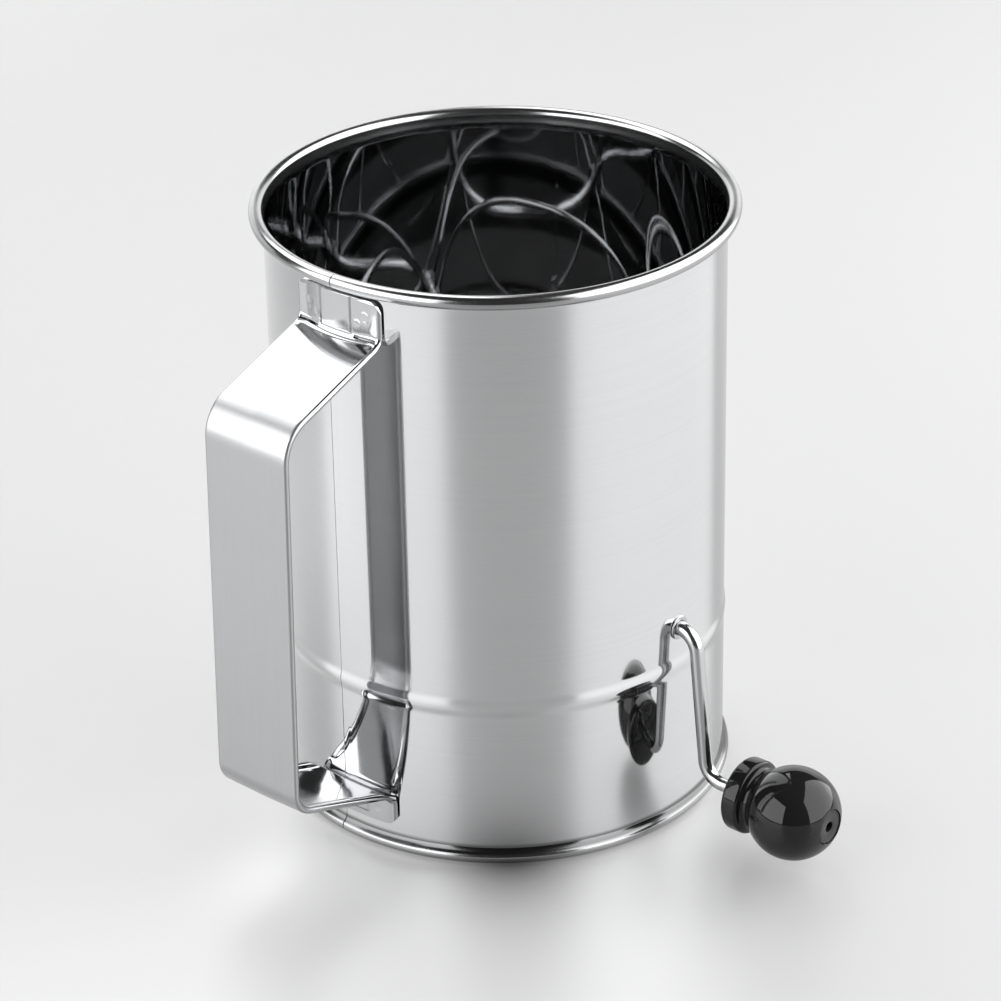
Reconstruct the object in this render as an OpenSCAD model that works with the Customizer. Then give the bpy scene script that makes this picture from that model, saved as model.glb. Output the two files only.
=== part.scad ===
// Crank flour sifter, stainless steel. Millimetres, +Z up.
// Origin: on the body axis at the plane the base ring rests on.
// The crank comes out of the front wall (toward -Y), the handle stands on the side
// (1.4 degrees off -X).

/* [Body] */
// Overall height of the body, from the resting plane to the top of the rolled rim
body_height = 168; // [166:1:190]
// Outside diameter over the rolled top rim
rim_diameter = 130; // [129:0.5:131]
// Outside diameter of the straight wall
wall_diameter = 122.6; // [122.2:0.1:123]
// Thickness of the sheet
sheet = 0.5; // [0.4:0.1:0.6]
// Diameter of the rolled top rim in section
rim_roll = 3.8; // [3.6:0.1:4]
// Outside diameter over the rolled base ring
base_diameter = 126; // [125.6:0.2:126.6]
// How far the raised bead stands out of the wall
bead_out = 0.4; // [0.35:0.05:0.5]
// Height of the bead centre above the resting plane
bead_z = 47.5; // [46.5:0.5:48]
// Angle of the vertical lock seam from the handle centre, seen from above
seam_angle = 3.5; // [0:0.5:5]

/* [Screen] */
// Spacing of the screen wires
mesh_pitch = 4; // [4:0.5:8]
// Diameter of a screen wire
mesh_wire = 0.6; // [0.4:0.1:0.7]
// Height of the lowest point of the screen
screen_low = 5; // [5:0.5:10]

/* [Crank and agitator] */
// Height of the shaft above the resting plane
shaft_z = 59.1; // [58.9:0.1:60]
// Diameter of the bent crank wire
crank_wire = 4; // [3.8:0.1:4]
// Radial running clearance of the shaft and of the knob
running = 0.05; // [0.03:0.01:0.08]
// Height the spindle of the knob hangs below the shaft
crank_drop = 43.3; // [40:0.1:43.5]
// How far the crank arm leans outward over its length
crank_lean = 4.2; // [2:0.2:5]
// Distance from the body axis to the upper corner of the crank
crank_out = 66.9; // [66.8:0.1:68]
// Diameter of an agitator wire
bow_wire = 2.6; // [2.2:0.1:2.8]
// Clearance between the agitator wires and the screen
sweep_gap = 0.9; // [0.8:0.1:3]

/* [Knob] */
// Diameter of the ball
ball_diameter = 25.6; // [24:0.2:25.8]
// Diameter of the collar behind the ball
collar_diameter = 20.6; // [19:0.2:21]

/* [Handle] */
// Width of the strap
strap_width = 28.5; // [24:0.5:32]
// Thickness of the strap sheet
strap_sheet = 0.8; // [0.7:0.1:1]
// Thickness over the hemmed edges of the strap
strap_hem = 2; // [1.8:0.1:2.2]
// Distance from the body axis to the upper corner of the grip
grip_top_r = 97; // [92:0.5:104]
// Distance from the body axis to the lower corner of the grip
grip_low_r = 98.8; // [93:0.5:106]

/* [Hidden] */
$fn = 96;

steel = [0.80, 0.81, 0.82];
wire_steel = [0.70, 0.71, 0.73];
plastic = [0.05, 0.05, 0.055];

fit = 0.02;       // gap between parts that touch
wire_gap = 0.06;  // gap between a core wire and the curl around it

// ---------- shared helpers ----------

// Local +Z points to -Y
module at_front(z = shaft_z) translate([0, 0, z]) rotate([90, 0, 0]) children();

// Local +Z points to +Y, on the shaft line
module at_rear() translate([0, 0, shaft_z]) rotate([-90, 0, 0]) children();

// Round bar at height z; start and end are distances from the body axis toward -Y
module bar(radius, start, end, z)
    translate([0, -start, 0]) at_front(z) cylinder(r = radius, h = end - start);

// Ring of round section about the body axis
module round_ring(centre_r, z, radius)
    rotate_extrude() translate([centre_r, z]) circle(r = radius);

// Ring of rectangular section about the body axis
module band(inner_r, z, thickness, height)
    rotate_extrude() translate([inner_r, z]) square([thickness, height]);

// Curved plate about the body axis; z_range is [low, high]
module curved_plate(middle, half_sweep, inner_r, thickness, z_range)
    rotate([0, 0, middle - half_sweep]) rotate_extrude(angle = 2 * half_sweep)
        translate([inner_r, z_range[0]]) square([thickness, z_range[1] - z_range[0]]);

// Arc of round wire in the XY plane, shortened by trim degrees at both ends
module arc_wire(start, sweep, radius, wire_r, trim)
    rotate([0, 0, start + trim]) rotate_extrude(angle = sweep - 2 * trim)
        translate([radius, 0]) circle(r = wire_r);

// Ball that joins two lengths of wire
module knuckle(wire_r) sphere(r = wire_r + 0.03);

// ---------- body ----------

wall_ro = wall_diameter / 2;
wall_ri = wall_ro - sheet;

// top roll: a curl of the wall turned outward
roll_r = rim_roll / 2;
roll_in = roll_r - sheet;
roll_c = rim_diameter / 2 - roll_r;
roll_z = body_height - roll_r;
flare_z = body_height - 5.3;

// base roll: a curl centred under the wall, with a narrow flat land to stand on
foot_r = 1.9;
foot_in = foot_r - sheet;
foot_c = base_diameter / 2 - foot_r;
foot_z = 1.75;
wall_low_z = foot_z + foot_in + 0.05;

// bead: a low arc that rises out of the wall over a 6 mm height
bead_half = 3;
bead_r = (bead_out * bead_out + bead_half * bead_half) / (2 * bead_out);
bead_c = wall_ro + bead_out - bead_r;

// the handle and the seam sit a little off the square to the crank
handle_turn = -1.4;
seam_at = 180 + handle_turn - seam_angle;
seam_half_angle = 2.6;
seam_depth = 0.6;
seam_spans = [[56.5, body_height - 10], [6, 43.5]];
seam_line_width = 0.24;
seam_line_depth = 0.18;
rim_joint = 4.4;     // angle from the seam line to the joint of the rolled rim
joint_sweep = 0.25;  // degrees
joint_depth = 0.25;
hole_r = 3.05;
hole_margin = 3;     // the hole cutters pass the wall by this on both sides

// Section of a curl, with the polygon "opening" (measured from its centre) cut out
module curl(centre_r, z, radius, opening) translate([centre_r, z]) difference() {
    circle(r = radius);
    circle(r = radius - sheet);
    polygon(opening);
}

module body_section() {
    // straight wall with the bead
    difference() {
        union() {
            translate([wall_ri, wall_low_z]) square([sheet, flare_z + 0.1 - wall_low_z]);
            intersection() {
                translate([bead_c, bead_z]) circle(r = bead_r);
                translate([wall_ri + 0.1, bead_z - 4]) square([4, 8]);
            }
        }
        translate([bead_c, bead_z]) circle(r = bead_r - sheet);
    }
    // flare up into the roll
    polygon([[wall_ri, flare_z], [wall_ro, flare_z],
        [roll_c - roll_in - 0.05, roll_z + 0.1], [roll_c - roll_r + 0.02, roll_z + 0.1]]);
    // top roll, open toward the wall
    curl(roll_c, roll_z, roll_r, [[0, 0], [-4, -0.4], [-4, -4.767]]);
    // base roll, open on its inner upper side, cut flat underneath
    difference() {
        curl(foot_c, foot_z, foot_r, [[0, 0], [-1.0, 4], [-3.4, 3.4]]);
        translate([foot_c - 4, -2]) square([8, 2]);
    }
}

// Cutter for a groove across a roll, left out over the inner mask_width of a 6 mm square
module roll_joint(angle, centre_r, z, radius, mask_width)
    rotate([0, 0, angle]) rotate_extrude(angle = joint_sweep)
        translate([centre_r, z]) difference() {
            circle(r = radius + 0.5);
            circle(r = radius - joint_depth);
            translate([-3, -3]) square([mask_width, 6]);
        }

module body_shell() color(steel) difference() {
    union() {
        rotate_extrude() body_section();
        // folded lock seam on the inside, flattened where the screen hoops sit
        for (span = seam_spans)
            curved_plate(seam_at, seam_half_angle, wall_ri - seam_depth, seam_depth + 0.1, span);
    }
    // seam line on the outside
    rotate([0, 0, seam_at]) translate([wall_ro - seam_line_depth, -seam_line_width / 2, 5])
        cube([2, seam_line_width, body_height - 14]);
    // joints of the rolled rim and of the base ring
    roll_joint(seam_at + rim_joint, roll_c, roll_z, roll_r, 1.6);
    roll_joint(seam_at, foot_c, foot_z, foot_r, 3.3);
    // holes for the front and rear bearings
    for (start = [wall_ri - hole_margin, -wall_ro - hole_margin])
        bar(hole_r, start, start + sheet + 2 * hole_margin, shaft_z);
}

module rim_wire() color(wire_steel) round_ring(roll_c, roll_z, roll_in - wire_gap);

module base_wire() color(wire_steel) round_ring(foot_c, foot_z, foot_in - wire_gap);

// ---------- screen ----------

// two layers of wires on concentric spheres, held between two hoops
hoop_top = 54;
hoop_low = 48.2;
hoop_height = hoop_top - hoop_low;
hoop_sheet = 0.6;
hoop_inner_rise = 3.6;  // the inner hoop starts this far above the outer one
hoop_bead_r = 0.34;
band_ri = 59.5;         // inside radius of the folded edge of the cloth
hoop_inner_ro = band_ri - 0.04;
fold = 0.44;
fold_drop = 1.6;
snap_ring_c = 60.5;
snap_ring_r = 0.55;
screen_sag = 49 - screen_low;
screen_r = (band_ri * band_ri + screen_sag * screen_sag) / (2 * screen_sag);
screen_cz = screen_low + screen_r;
layer_offset = mesh_wire / 2 + 0.01;

// Parallel wires of square section along X on a sphere; each wire is an arc
module wire_layer(sphere_r) {
    count = floor((band_ri - 6) / mesh_pitch);
    for (i = [-count : count]) {
        y = i * mesh_pitch;
        arc_r = sqrt(sphere_r * sphere_r - y * y);
        half_chord = sqrt(pow(band_ri + 0.6, 2) - pow(abs(y) - mesh_wire / 2, 2));
        half_sweep = asin(half_chord / arc_r);
        translate([0, y, screen_cz]) rotate([90, 0, 0])
            rotate([0, 0, -90 - half_sweep]) rotate_extrude(angle = 2 * half_sweep)
                translate([arc_r - mesh_wire / 2, -mesh_wire / 2])
                    square([mesh_wire, mesh_wire]);
    }
}

module screen_mesh() color(wire_steel) {
    // the wires end inside the folded edge of the cloth
    intersection() {
        union() {
            wire_layer(screen_r + layer_offset);
            rotate([0, 0, 90]) wire_layer(screen_r - layer_offset);
        }
        cylinder(r = band_ri + fold / 2, h = hoop_top);
    }
    // folded edge of the cloth, between the hoops
    band(band_ri, hoop_low - fold_drop, fold, hoop_height + fold_drop - 0.2);
}

module screen_hoop_outer() color(steel)
    band(band_ri + fold + 0.04, hoop_low, hoop_sheet, hoop_height);

// Inner hoop with a rounded top edge
module screen_hoop_inner() color(steel) rotate_extrude() difference() {
    union() {
        translate([hoop_inner_ro - hoop_sheet, hoop_low + hoop_inner_rise])
            square([hoop_sheet, hoop_height - hoop_inner_rise]);
        translate([band_ri - 0.3, hoop_top + 0.02]) circle(r = hoop_bead_r);
    }
    translate([hoop_inner_ro, hoop_low]) square([2, 12]);
}

module screen_snap_ring() color(wire_steel) round_ring(snap_ring_c, bead_z, snap_ring_r);

// ---------- handle ----------

strap_top_z = 151;    // height of the strap's upper fold
strap_low_z = 16.7;   // height of its lower fold
strap_wall_r = 62.2;  // distance of both folds from the body axis
strap_root_r = 50;    // the arms are drawn in to here, then cut off at the wall
grip_top = [grip_top_r, 138.4];
grip_low = [grip_low_r, 29.2];
flange_top = 162.6;
flange_low = 7.9;
bend_top = 11.5;
bend_low = 8.5;
bend_steps = 14;
hem_width = 3;
strap_ri = wall_ro + fit;
strap_ro = strap_ri + strap_sheet;
flange_half_angle = asin((strap_width / 2 - 0.5) / strap_ro);
panel_half_angle = 4.8;
panel_out = 0.35;
panel_spans = [[strap_top_z - 0.6, 159.5], [10.2, strap_low_z + 0.9]];
slot_offset = 15;
slot_size = [12, 15.2, 1];
slot_bottoms = [strap_top_z + 0.9, strap_low_z - 2.1];
weld_r = 1.4;
weld_depth = 0.2;
weld_places = [[7.4, 157.4], [10.6, 156.2], [7.8, 12.0]];  // [angle from the middle, z]

function unit(v) = v / norm(v);
function right_of(v) = [v[1], -v[0]];
function direction(v) = atan2(v[1], v[0]);
function reversed(list) = [for (i = [len(list) - 1 : -1 : 0]) list[i]];

// Half the angle at a corner between its two neighbours
function half_corner(before, at, after) = acos(unit(before - at) * unit(after - at)) / 2;

// The point inside a corner that lies at distance depth from both its sides
function inset_corner(before, at, after, depth) =
    at + unit(unit(before - at) + unit(after - at))
        * (depth / sin(half_corner(before, at, after)));

// Points of the arc that rounds a corner
function fillet_points(before, at, after, radius) =
    let (centre = inset_corner(before, at, after, radius),
        reach = radius / tan(half_corner(before, at, after)),
        start = direction(at + unit(before - at) * reach - centre),
        raw = direction(at + unit(after - at) * reach - centre) - start,
        sweep = raw > 180 ? raw - 360 : (raw < -180 ? raw + 360 : raw))
    [for (i = [0 : bend_steps])
        let (angle = start + sweep * i / bend_steps)
        centre + radius * [cos(angle), sin(angle)]];

// Inner end of an arm: the line from the grip corner through the fold, carried on inward
function arm_root(fold_z, corner) = [strap_root_r,
    fold_z + (strap_wall_r - strap_root_r) * (fold_z - corner[1]) / (corner[0] - strap_wall_r)];

// Outer line of the strap as [distance from the body axis, z], from top to bottom
strap_path = [arm_root(strap_top_z, grip_top), grip_top, grip_low,
    arm_root(strap_low_z, grip_low)];

// A four-point path with its two middle corners rounded
function rounded_path(path, top_r, low_r) = concat(
    [path[0]],
    fillet_points(path[0], path[1], path[2], top_r),
    fillet_points(path[1], path[2], path[3], low_r),
    [path[3]]);

function inset_path(path, depth) = [
    path[0] + depth * right_of(unit(path[1] - path[0])),
    inset_corner(path[0], path[1], path[2], depth),
    inset_corner(path[1], path[2], path[3], depth),
    path[3] + depth * right_of(unit(path[3] - path[2]))];

function strap_outline(thickness) = concat(
    rounded_path(strap_path, bend_top, bend_low),
    reversed(rounded_path(inset_path(strap_path, thickness),
        bend_top - thickness, bend_low - thickness)));

// Length of strap profile between two stations across the width
module strap_slab(thickness, start, end)
    rotate([0, 0, 180]) translate([0, end, 0]) rotate([90, 0, 0])
        linear_extrude(height = end - start) polygon(strap_outline(thickness));

module handle_strap() color(steel) rotate([0, 0, handle_turn]) difference() {
    union() {
        difference() {
            half_width = strap_width / 2;
            union() {
                strap_slab(strap_sheet, -half_width + hem_width - 0.1,
                    half_width - hem_width + 0.1);
                for (start = [-half_width, half_width - hem_width])
                    strap_slab(strap_hem, start, start + hem_width);
            }
            translate([0, 0, -10]) cylinder(r = strap_ri + 0.15, h = 300);
        }
        // flanges against the wall
        for (span = [[strap_top_z - 1.2, flange_top], [flange_low, strap_low_z + 1.4]])
            curved_plate(180, flange_half_angle, strap_ri, strap_sheet, span);
        // raised panel in the middle of each flange
        for (span = panel_spans)
            curved_plate(180, panel_half_angle, strap_ro - 0.3, panel_out + 0.3, span);
    }
    for (side = [-1, 1]) {
        // relief slots at both ends of each fold
        for (z = slot_bottoms)
            translate([-70, side * slot_offset - 7.8, z]) cube(slot_size);
        // spot welds
        for (place = weld_places)
            rotate([0, 0, 180 + side * place[0]])
                translate([strap_ro - weld_depth, 0, place[1]])
                    rotate([0, 90, 0]) cylinder(r = weld_r, h = 3);
    }
}

// ---------- bearings ----------

shaft_r = crank_wire / 2;
bore_r = shaft_r + running;
eyelet_r = 3.0;
eyelet_in = 58.6;
lip_r = 3.35;
lip_edge_r = 0.25;
boss_r = 4.2;
inner_face = sqrt(wall_ri * wall_ri - boss_r * boss_r) - fit;

// A flared eyelet through the wall, local +Z outward from the body axis
module eyelet() difference() {
    union() {
        translate([0, 0, eyelet_in]) cylinder(r = boss_r, h = inner_face - eyelet_in);
        translate([0, 0, eyelet_in]) cylinder(r = eyelet_r, h = wall_ro + 0.3 - eyelet_in);
        // outer lip with a rounded edge
        translate([0, 0, wall_ro + fit]) rotate_extrude() union() {
            square([lip_r - lip_edge_r, 2 * lip_edge_r]);
            square([lip_r, lip_edge_r]);
            translate([lip_r - lip_edge_r, lip_edge_r]) circle(r = lip_edge_r);
        }
    }
    translate([0, 0, eyelet_in - 1]) cylinder(r = bore_r, h = 8);
}

module bearing_eyelet_front() color(steel) at_front() eyelet();
module bearing_eyelet_rear() color(steel) at_rear() eyelet();

// ---------- crank ----------

// upper and lower corner of the arm, both with the same bend
rear_end = 65.8;
bend_r = 6;
bend_trim = 0.15;
spindle_z = shaft_z - crank_drop;
lean = atan2(crank_lean, crank_drop);
crank_turn = 90 - lean;
tangent = bend_r * tan(crank_turn / 2);
arm_length = norm([crank_lean, crank_drop]) - 2 * tangent;
crank_low_out = crank_out + crank_lean;

// ends of the straight lengths as [distance from the body axis, z]
shaft_end = [crank_out - tangent, shaft_z];
arm_top = [crank_out + tangent * sin(lean), shaft_z - tangent * cos(lean)];
arm_low = [crank_low_out - tangent * sin(lean), spindle_z + tangent * cos(lean)];
spindle_start = [crank_low_out + tangent, spindle_z];

knob_y = 83;          // distance from the body axis to the back of the knob
spindle_reach = 22;   // length of spindle beyond the back of the knob

// A bend in the XZ plane about the centre [x, z]
module crank_bend(x, z, start)
    translate([x, 0, z]) rotate([90, 0, 0])
        arc_wire(start, crank_turn, bend_r, shaft_r, bend_trim);

module crank_rod() color(wire_steel) {
    bar(shaft_r, -rear_end, shaft_end[0], shaft_z);
    // arm, drawn with +X out of the body and turned to the front
    rotate([0, 0, -90]) {
        crank_bend(shaft_end[0], shaft_z - bend_r, 90 - crank_turn);
        translate([arm_top[0], 0, arm_top[1]])
            rotate([0, 180 - lean, 0]) cylinder(r = shaft_r, h = arm_length);
        crank_bend(spindle_start[0], spindle_z + bend_r, 270 - crank_turn);
        for (end = [shaft_end, arm_top, arm_low, spindle_start])
            translate([end[0], 0, end[1]]) knuckle(shaft_r);
    }
    // spindle
    bar(shaft_r, spindle_start[0], knob_y + spindle_reach, spindle_z);
}

// ---------- agitator ----------

// arcs that follow the screen, closed by straight legs into the hubs;
// two crossing loops that are not quite square to each other
bow_angles = [44, 150, 224, 330];
bow_wire_r = bow_wire / 2;
mesh_depth = 0.6;  // allowance for the wires inside the screen sphere
bow_r = screen_r - mesh_depth - bow_wire_r - sweep_gap;
bow_offset = screen_cz - shaft_z;
leg_y = 54;
leg_fillet = 5;
fillet_y = leg_y - leg_fillet;
fillet_depth = sqrt(pow(bow_r - leg_fillet, 2) - fillet_y * fillet_y) - bow_offset;
fillet_angle = atan2(fillet_depth + bow_offset, fillet_y);
socket_r = 3.2;    // distance from the shaft axis to the end of a leg
hub_r = 5;
hub_start = 51.2;
hub_length = 5.6;
washer_start = 57.2;
washer_r = 4.5;

// Hub with a bore for the shaft and four leg sockets; side is -1 in front, 1 at the rear
module hub(side) difference() {
    translate([0, 0, hub_start]) cylinder(r = hub_r, h = hub_length);
    translate([0, 0, 50]) cylinder(r = shaft_r + fit, h = 8);
    for (angle = bow_angles)
        translate([0, 0, leg_y]) rotate([0, 0, side * (90 + angle)]) rotate([0, 90, 0])
            translate([0, 0, socket_r - fit]) cylinder(r = bow_wire_r + fit, h = 6);
}

module agitator_hub_front() color(steel) at_front() hub(-1);
module agitator_hub_rear() color(steel) at_rear() hub(1);

// One D-shaped bow: an arc that follows the screen, two corners, two legs into the hubs
module agitator_bow(angle) color(wire_steel)
    translate([0, 0, shaft_z]) rotate([0, angle, 0]) {
        half_sweep = 90 - fillet_angle;
        translate([0, 0, bow_offset]) rotate([90, 0, 90])
            arc_wire(-90 - half_sweep, 2 * half_sweep, bow_r, bow_wire_r, 0.02);
        for (side = [-1, 1]) {
            translate([0, side * fillet_y, -fillet_depth]) rotate([90, 0, 90])
                arc_wire(side > 0 ? -fillet_angle : 180, fillet_angle, leg_fillet,
                    bow_wire_r, 0.2);
            translate([0, side * leg_y, -fillet_depth + 0.02])
                cylinder(r = bow_wire_r, h = fillet_depth - socket_r - 0.02);
            translate([0, side * leg_y, -fillet_depth]) knuckle(bow_wire_r);
            translate([0, side * (fillet_y + leg_fillet * cos(fillet_angle)),
                -fillet_depth - leg_fillet * sin(fillet_angle)]) knuckle(bow_wire_r);
        }
    }

module agitator_bow_1() agitator_bow(bow_angles[0]);
module agitator_bow_2() agitator_bow(bow_angles[1]);
module agitator_bow_3() agitator_bow(bow_angles[2]);
module agitator_bow_4() agitator_bow(bow_angles[3]);

module washer() difference() {
    translate([0, 0, washer_start]) cylinder(r = washer_r, h = 1);
    translate([0, 0, washer_start - 0.2]) cylinder(r = shaft_r + 0.08, h = 2);
}

module thrust_washer_front() color(steel) at_front() washer();
module thrust_washer_rear() color(steel) at_rear() washer();

// ---------- shaft end cap ----------

cap_start = 63.3;
cap_r = 4.4;
cap_rim = 2.2;          // length of the straight side
cap_dome_r = 5.683;
cap_dome_centre = 61.9;

module shaft_end_cap() color(steel) at_rear() difference() {
    rotate_extrude() difference() {
        union() {
            translate([0, cap_start]) square([cap_r, cap_rim]);
            intersection() {
                translate([0, cap_dome_centre]) circle(r = cap_dome_r);
                translate([0, cap_start + cap_rim]) square([6, 6]);
            }
        }
        translate([-10, 50]) square([10, 30]);
    }
    // blind hole for the end of the shaft
    translate([0, 0, 63]) cylinder(r = shaft_r + fit, h = rear_end + 0.1 - 63);
}

// ---------- knob ----------

// stations are measured along the spindle from the back of the collar
ball_r = ball_diameter / 2;
ball_centre = 17;
collar_r = collar_diameter / 2;
collar_length = 5.2;
collar_edge_r = 1;
neck_r = 8.2;
pocket_start = 19;
pocket_r = 4.9;
face = ball_centre + sqrt(ball_r * ball_r - pocket_r * pocket_r) - 0.02;
nut_r = 4.2;
nut_sheet = 0.7;
plug_hole_r = 1.45;

module on_spindle() translate([0, -knob_y, 0]) at_front(spindle_z) children();

module knob_section() difference() {
    union() {
        // collar with rounded edges
        square([collar_r - collar_edge_r, collar_length]);
        translate([0, collar_edge_r]) square([collar_r, collar_length - 2 * collar_edge_r]);
        for (station = [collar_edge_r, collar_length - collar_edge_r])
            translate([collar_r - collar_edge_r, station]) circle(r = collar_edge_r);
        // neck
        polygon([[0, 5], [collar_r - 1.2, 5], [neck_r, 6.3], [neck_r, 7.4], [0, 7.6]]);
        // ball
        translate([0, ball_centre]) circle(r = ball_r);
    }
    // keep one side of the axis
    translate([-40, -10]) square([40, 60]);
    // flat end face and the pocket in it
    translate([0, face]) square([20, 10]);
    translate([0, pocket_start]) square([pocket_r, 20]);
}

module knob_ball() color(plastic) on_spindle() difference() {
    rotate_extrude() knob_section();
    translate([0, 0, -1]) cylinder(r = bore_r, h = 30);
}

module knob_push_nut() color(steel) on_spindle() difference() {
    translate([0, 0, pocket_start + 0.2]) cylinder(r = nut_r, h = nut_sheet);
    translate([0, 0, pocket_start]) cylinder(r = shaft_r + fit, h = 3);
}

module knob_end_plug() color(plastic) on_spindle() difference() {
    translate([0, 0, face - 2.8]) cylinder(r = pocket_r - 0.06, h = 2.55);
    // shallow ring groove
    translate([0, 0, face - 0.45]) difference() {
        cylinder(r = pocket_r - 0.5, h = 1);
        translate([0, 0, -1]) cylinder(r = pocket_r - 0.85, h = 3);
    }
    translate([0, 0, face - 4]) cylinder(r = plug_hole_r, h = 6);
}

body_shell();
rim_wire();
base_wire();
screen_mesh();
screen_hoop_outer();
screen_hoop_inner();
screen_snap_ring();
handle_strap();
bearing_eyelet_front();
bearing_eyelet_rear();
crank_rod();
agitator_hub_front();
agitator_hub_rear();
agitator_bow_1();
agitator_bow_2();
agitator_bow_3();
agitator_bow_4();
thrust_washer_front();
thrust_washer_rear();
shaft_end_cap();
knob_ball();
knob_push_nut();
knob_end_plug();
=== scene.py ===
# A flour sifter: a rolled steel cup with a domed wire screen, a crank-turned agitator of four
# wire bows, a folded strap handle and a black ball knob.
# The cup stands on z = 0 about the Z axis. The handle is on the -X side; the crank leaves
# through the wall on the -Y side, called the front. Lengths are in mm unless noted.
import math
import bpy
import numpy as np
from mathutils import Matrix, Vector


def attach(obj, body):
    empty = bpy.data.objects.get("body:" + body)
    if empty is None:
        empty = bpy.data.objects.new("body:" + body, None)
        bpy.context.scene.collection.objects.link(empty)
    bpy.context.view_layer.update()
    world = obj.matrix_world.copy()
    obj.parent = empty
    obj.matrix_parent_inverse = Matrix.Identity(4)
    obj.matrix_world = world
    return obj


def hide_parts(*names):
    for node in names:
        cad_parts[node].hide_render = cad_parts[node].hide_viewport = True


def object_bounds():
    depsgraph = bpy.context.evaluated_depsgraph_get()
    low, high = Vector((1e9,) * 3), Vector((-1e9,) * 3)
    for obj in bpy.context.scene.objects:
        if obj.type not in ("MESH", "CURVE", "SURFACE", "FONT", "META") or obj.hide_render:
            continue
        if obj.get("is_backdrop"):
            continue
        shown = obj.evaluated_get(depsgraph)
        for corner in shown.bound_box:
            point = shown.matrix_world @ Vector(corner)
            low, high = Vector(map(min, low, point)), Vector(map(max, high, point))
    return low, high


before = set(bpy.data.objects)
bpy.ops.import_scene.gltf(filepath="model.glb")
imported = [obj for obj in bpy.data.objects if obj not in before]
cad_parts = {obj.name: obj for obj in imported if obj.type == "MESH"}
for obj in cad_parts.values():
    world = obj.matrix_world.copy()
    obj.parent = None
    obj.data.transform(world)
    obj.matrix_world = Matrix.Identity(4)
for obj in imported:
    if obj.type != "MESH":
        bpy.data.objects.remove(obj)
box_at_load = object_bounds()

BODY, CRANK, KNOB = "sifter_body", "crank_and_agitator", "crank_knob"
MM = 0.001

# ---------------------------------------------------------------- driving sizes
WALL_OUTER = 61.3
SHEET = 0.5
WALL_INNER = WALL_OUTER - SHEET
WALL_MID = WALL_INNER + SHEET / 2
RIM_CENTRE, RIM_Z, RIM_RADIUS = 63.1, 166.1, 1.9       # curl at the top edge
FOOT_CENTRE, FOOT_Z, FOOT_RADIUS = 61.1, 1.75, 1.9     # curl at the bottom edge
BEAD_Z, BEAD_HEIGHT = 47.5, 0.38                       # ridge round the wall
HANDLE_TURN = math.radians(-1.4)
SEAM = math.radians(176.5) + HANDLE_TURN
RIM_JOINT = SEAM + math.radians(4.4)

SCREEN_EDGE_R, SCREEN_EDGE_Z, SCREEN_LOW_Z = 59.5, 49.0, 5.0
SCREEN_SAG = SCREEN_EDGE_Z - SCREEN_LOW_Z
SCREEN_R = (SCREEN_EDGE_R ** 2 + SCREEN_SAG ** 2) / (2 * SCREEN_SAG)
SCREEN_CENTRE_Z = SCREEN_LOW_Z + SCREEN_R
SCREEN_WIRE_R = 0.19
SCREEN_PITCH = 1.45

SHAFT_Z = 59.1
ROD_R = 2.0
CRANK_DROP, CRANK_FLARE = 43.3, 4.2                    # down and outward along the crank arm
GRIP_Z = SHAFT_Z - CRANK_DROP
KNOB_Y = 83.0                                          # distance of the knob's inner face

BOW_ANGLES = (44, 150, 224, 330)                       # degrees about the shaft, from straight down
BOW_WIRE_R = 1.3
BOW_R = SCREEN_R - 0.6 - BOW_WIRE_R - 0.9
BOW_CENTRE = SCREEN_CENTRE_Z - SHAFT_Z                 # above the shaft
BOW_Y = 54.0                                           # where bows and hubs meet
BOW_CORNER = 5.0

STRAP_THICK = 0.8
STRAP_R = WALL_OUTER + 0.02 + STRAP_THICK              # outer face of the handle's flanges
STRAP_HALF_WIDTH = 14.25


# ---------------------------------------------------------------- mesh helpers
def mesh_object(name, shape, material, sharp):
    """An object from (vertices in mm, faces), with its faces pointing outward."""
    verts, faces = shape
    verts = np.asarray(verts, float) * MM
    mesh = bpy.data.meshes.new(name)
    mesh.from_pydata(verts.tolist(), [], [tuple(map(int, face)) for face in faces])
    mesh.validate()
    mesh.calc_loop_triangles()
    corners = np.zeros(len(mesh.loop_triangles) * 3, np.int32)
    mesh.loop_triangles.foreach_get("vertices", corners)
    a, b, c = verts[corners.reshape(-1, 3)].transpose(1, 0, 2)
    if np.einsum("ij,ij->i", a, np.cross(b, c)).sum() < 0:
        mesh.flip_normals()
    mesh.shade_smooth()
    if sharp:
        mesh.set_sharp_from_angle(angle=math.radians(sharp))
    obj = bpy.data.objects.new(name, mesh)
    bpy.context.scene.collection.objects.link(obj)
    mesh.materials.append(material)
    return obj


def register(obj, body, node):
    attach(obj, body)
    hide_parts(node)


def piece(name, shape, body, node, finish, sharp=40.0):
    """A mesh object that rides on a body and stands for a CAD node."""
    material, slot = finish
    register(mesh_object(name, shape, material, sharp), body, node)


def grid_faces(rows, columns, closed=True):
    """Quads between vertices numbered row * columns + column; columns always wrap round."""
    row, col = np.meshgrid(np.arange(rows if closed else rows - 1), np.arange(columns),
                           indexing="ij")
    next_row, next_col = (row + 1) % rows, (col + 1) % columns
    return np.stack([row * columns + col, next_row * columns + col,
                     next_row * columns + next_col, row * columns + next_col],
                    -1).reshape(-1, 4)


def join(parts):
    """One (vertices, faces) pair from several."""
    verts, faces, base = [], [], 0
    for part_verts, part_faces in parts:
        verts.append(part_verts)
        faces.append(part_faces + base)
        base += len(part_verts)
    return np.concatenate(verts), np.concatenate(faces)


def turned(r, z, angles):
    """Vertices about Z from grids of radius and height, one row per angle."""
    cos, sin = np.cos(angles)[:, None], np.sin(angles)[:, None]
    return np.stack([r * cos, r * sin, z], -1).reshape(-1, 3)


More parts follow.
